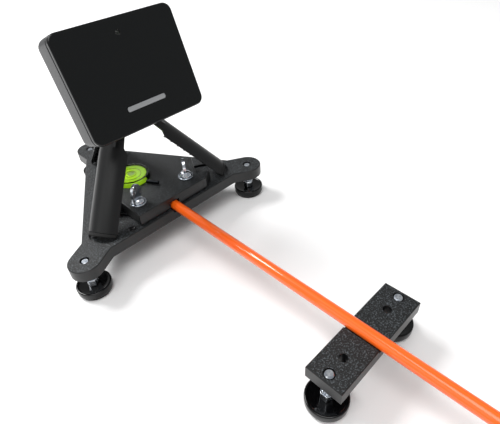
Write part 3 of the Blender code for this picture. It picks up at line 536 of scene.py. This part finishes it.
# Glass filled nylon: satin black from a spark-eroded mould, with a fine
# grain of about 0.4 mm.
leg_nylon, shader = new_finish("nylon_glass_filled_satin", "#0b0c0d", 0.38, ior=1.42)
links = leg_nylon.node_tree.links
place = add_node(leg_nylon, "ShaderNodeTexCoord")
spark = add_node(leg_nylon, "ShaderNodeTexNoise", {"Scale": 1 / (0.4 * mm), "Detail": 2.0},
                 {"Vector": place.outputs["Object"]})
grain = add_node(leg_nylon, "ShaderNodeBump", {"Strength": 0.12, "Distance": 0.1 * mm},
                 {"Height": spark.outputs["Fac"]})
uneven = add_node(leg_nylon, "ShaderNodeMapRange", {"To Min": 0.33, "To Max": 0.45},
                  {"Value": spark.outputs["Fac"]})
links.new(grain.outputs["Normal"], shader.inputs["Normal"])
links.new(uneven.outputs["Result"], shader.inputs["Roughness"])

hub = eased("tripod_hub", 0.15 * mm, angle=35)
hub.data.materials.append(leg_nylon)
settle(hub, "tripod_hub_moulded", "tripod", "tripod", "tripod_hub")
for side in ("left", "right", "back"):
    leg = eased("tripod_leg_" + side, 0.2 * mm, angle=35)
    leg.data.materials.append(leg_nylon)
    settle(leg, "leg_moulded_" + side, "leg_" + side, "tripod", "tripod_leg_" + side)
    toe = eased("leg_toe_" + side, 0.2 * mm, angle=35)
    toe.data.materials.append(rubber)
    settle(toe, "leg_toe_rubber_" + side, "leg_" + side, "rubber", "leg_toe_" + side)


def dress(node, material):
    """A finish for a solid whose shape is kept as it is."""
    for face_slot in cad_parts[node].material_slots:
        face_slot.material = material


for side in ("left", "right", "back"):
    dress("leg_pin_" + side, zinc)
dress("tilt_pin", zinc)

# ---------------------------------------------------------------------------
# Tilt bracket and its screw: a moulded plate on the monitor's back, pivoting
# on the hub, held by one zinc screw in a brass thread.
# ---------------------------------------------------------------------------
bracket = eased("tilt_bracket", 0.3 * mm, angle=35)
bracket.data.materials.append(leg_nylon)
settle(bracket, "tilt_bracket_moulded", "head", "tripod", "tilt_bracket")
screw = eased("mount_screw", 0.2 * mm, angle=35)
screw.data.materials.append(zinc)
settle(screw, "mount_screw_zinc", "head", "zinc", "mount_screw")

# Turned brass: warm yellow metal with fine tool lines.
brass, shader = new_finish("brass_turned", "#c9a25a", 0.3, metallic=1.0)
worked(brass, shader, 0.3 * mm, 0.2, 0.42, 0.03 * mm)
for node in ("tripod_thread", "insert_left", "insert_right"):
    dress(node, brass)

# ---------------------------------------------------------------------------
# Monitor housing: moulded grey ABS with a well rounded back and a thin
# chamfer round the front, which shows as a bright line beside a dark seam.
# ---------------------------------------------------------------------------

# Moulded ABS: charcoal grey satin, with a fine even grain of about 0.35 mm.
abs_grey, shader = new_finish("abs_grey_satin", "#27282a", 0.42, ior=1.44)
links = abs_grey.node_tree.links
place = add_node(abs_grey, "ShaderNodeTexCoord")
grain = add_node(abs_grey, "ShaderNodeTexNoise", {"Scale": 1 / (0.35 * mm), "Detail": 2.0},
                 {"Vector": place.outputs["Object"]})
fine = add_node(abs_grey, "ShaderNodeBump", {"Strength": 0.15, "Distance": 0.1 * mm},
                {"Height": grain.outputs["Fac"]})
links.new(fine.outputs["Normal"], shader.inputs["Normal"])

housing = eased("rear_housing", 0.25 * mm, angle=35, steps=3)
housing.data.materials.append(abs_grey)
settle(housing, "monitor_housing", "head", "housing", "rear_housing")

# ---------------------------------------------------------------------------
# Monitor cover: a flat panel of radar-clear black polycarbonate with eased
# edges, which the beam leaves through. It carries the lamp and a plain badge.
# ---------------------------------------------------------------------------

# Hard-coated polycarbonate: near black with a cool cast, glossy, with a very
# slow waviness about 30 mm long.
radome, shader = new_finish("polycarbonate_black_hardcoat", "#070a0b", 0.2, ior=1.38)
links = radome.node_tree.links
place = add_node(radome, "ShaderNodeTexCoord")
waves = add_node(radome, "ShaderNodeTexNoise", {"Scale": 1 / (30 * mm), "Detail": 1.0},
                 {"Vector": place.outputs["Object"]})
panel = add_node(radome, "ShaderNodeMapRange", {"To Min": 0.17, "To Max": 0.25},
                 {"Value": waves.outputs["Fac"]})
links.new(panel.outputs["Result"], shader.inputs["Roughness"])

cover = eased("front_cover", 0.3 * mm, angle=25, steps=3)
cover.data.materials.append(radome)
settle(cover, "monitor_cover", "head", "cover", "front_cover")

# Badge: a plain stamped bar of brushed aluminium.
aluminium, shader = new_finish("aluminium_brushed", "#c4c6c8", 0.34, metallic=1.0)
links = aluminium.node_tree.links
place = add_node(aluminium, "ShaderNodeTexCoord")
lines = add_node(aluminium, "ShaderNodeMapping", {"Scale": (60.0, 1 / (0.4 * mm), 1 / (0.4 * mm))},
                 {"Vector": place.outputs["Object"]})
brushing = add_node(aluminium, "ShaderNodeTexNoise", {"Scale": 1.0, "Detail": 2.0},
                    {"Vector": lines.outputs["Vector"]})
scratches = add_node(aluminium, "ShaderNodeMapRange", {"To Min": 0.26, "To Max": 0.44},
                     {"Value": brushing.outputs["Fac"]})
links.new(scratches.outputs["Result"], shader.inputs["Roughness"])
badge = eased("blank_badge", 0.1 * mm)
badge.data.materials.append(aluminium)
settle(badge, "badge_plain", "head", "badge", "blank_badge")

dress("led_lens", acrylic)
dress("cover_seal", rubber)

# ---------------------------------------------------------------------------
# Button, flap and socket: a round gloss button and a rubber flap over the
# charging socket, on the monitor's right side.
# ---------------------------------------------------------------------------
button = eased("power_button", 0.2 * mm, angle=35)
button.data.materials.append(nylon_gloss)
settle(button, "power_button_gloss", "button", "knob", "power_button")
flap = eased("port_flap", 0.3 * mm)
flap.data.materials.append(rubber)
settle(flap, "port_flap_rubber", "flap", "rubber", "port_flap")

# Tinned steel: dull silver, with the spangle of hot tin about 3 mm across.
tinned, shader = new_finish("steel_tinned", "#b8b7b2", 0.34, metallic=1.0)
worked(tinned, shader, 3 * mm, 0.26, 0.44, 0.03 * mm)
for node in ("usb_socket", "radio_shield"):
    dress(node, tinned)

# ---------------------------------------------------------------------------
# Inside the housing: the main board, the antenna board and the wrapped cell.
# None of it shows with the monitor closed.
# ---------------------------------------------------------------------------

# Solder mask: glossy green lacquer that shows the weave of the glass cloth
# under it.
solder_mask, shader = new_finish("board_solder_mask", "#14552c", 0.3, ior=1.5)
worked(solder_mask, shader, 0.5 * mm, 0.2, 0.38, 0.02 * mm)
for node in ("main_board", "antenna_board"):
    dress(node, solder_mask)

# Cell wrap: shrunk blue PVC film, glossy, with slow wrinkles about 5 mm long.
cell_wrap, shader = new_finish("cell_wrap_pvc", "#22407c", 0.28, ior=1.53)
worked(cell_wrap, shader, 5 * mm, 0.2, 0.36, 0.3 * mm)
dress("battery", cell_wrap)

# ---------------------------------------------------------------------------
# Studio: a white floor, a soft key above and behind, a weak fill from the left,
# a large light overhead and a camera on the left of the monitor's front.
# ---------------------------------------------------------------------------
bpy.ops.object.select_all(action="DESELECT")
bpy.ops.mesh.primitive_plane_add(size=12, location=(0, 0, -0.2 * mm))
floor = bpy.context.object
floor.name = "studio_floor"
paper, shader = new_finish("floor_white_paper", "#f6f6f6", 0.9)
floor.data.materials.append(paper)

world = bpy.data.worlds.new("studio")
bpy.context.scene.world = world
world.use_nodes = True
world.node_tree.nodes["Background"].inputs["Color"].default_value = (1.0, 1.0, 1.0, 1.0)
world.node_tree.nodes["Background"].inputs["Strength"].default_value = 0.4


def soft_light(name, place, aim, width, height, power):
    """A white rectangular light at a place, turned to face its aim."""
    bpy.ops.object.light_add(type="AREA", location=place)
    light = bpy.context.object
    light.name = name
    light.rotation_euler = (Vector(aim) - Vector(place)).to_track_quat("-Z", "Y").to_euler()
    light.data.shape = "RECTANGLE"
    light.data.size = width
    light.data.size_y = height
    light.data.energy = power


soft_light("key", (-0.35, 1.25, 1.35), (0, 0.05, 0.03), 0.7, 0.7, 30)
soft_light("left_fill", (-1.5, 0.25, 0.9), (0, 0.1, 0.05), 0.8, 0.8, 2)
soft_light("ceiling", (-0.5, -0.35, 1.7), (0, 0, 0), 1.2, 1.2, 17)

# The camera's place in metres, and its heading, pitch and roll in radians.
camera_place = (-0.137455, -0.098379, 0.237105)
turn, tilt, roll = -0.738, 0.685, -0.076
back = Vector((math.sin(turn) * math.cos(tilt), -math.cos(turn) * math.cos(tilt), math.sin(tilt)))
right = Vector((0, 0, 1)).cross(back).normalized()
up = back.cross(right)
across = math.cos(roll) * right + math.sin(roll) * up
upward = -math.sin(roll) * right + math.cos(roll) * up
bpy.ops.object.camera_add()
camera = bpy.context.object
facing = Matrix((across, upward, back)).transposed().to_4x4()
camera.matrix_world = Matrix.Translation(camera_place) @ facing
camera.data.sensor_fit = "HORIZONTAL"
camera.data.sensor_width = 36
camera.data.lens = 30.92
camera.data.clip_start = 0.01
bpy.context.scene.camera = camera
bpy.context.scene.view_settings.view_transform = "Standard"
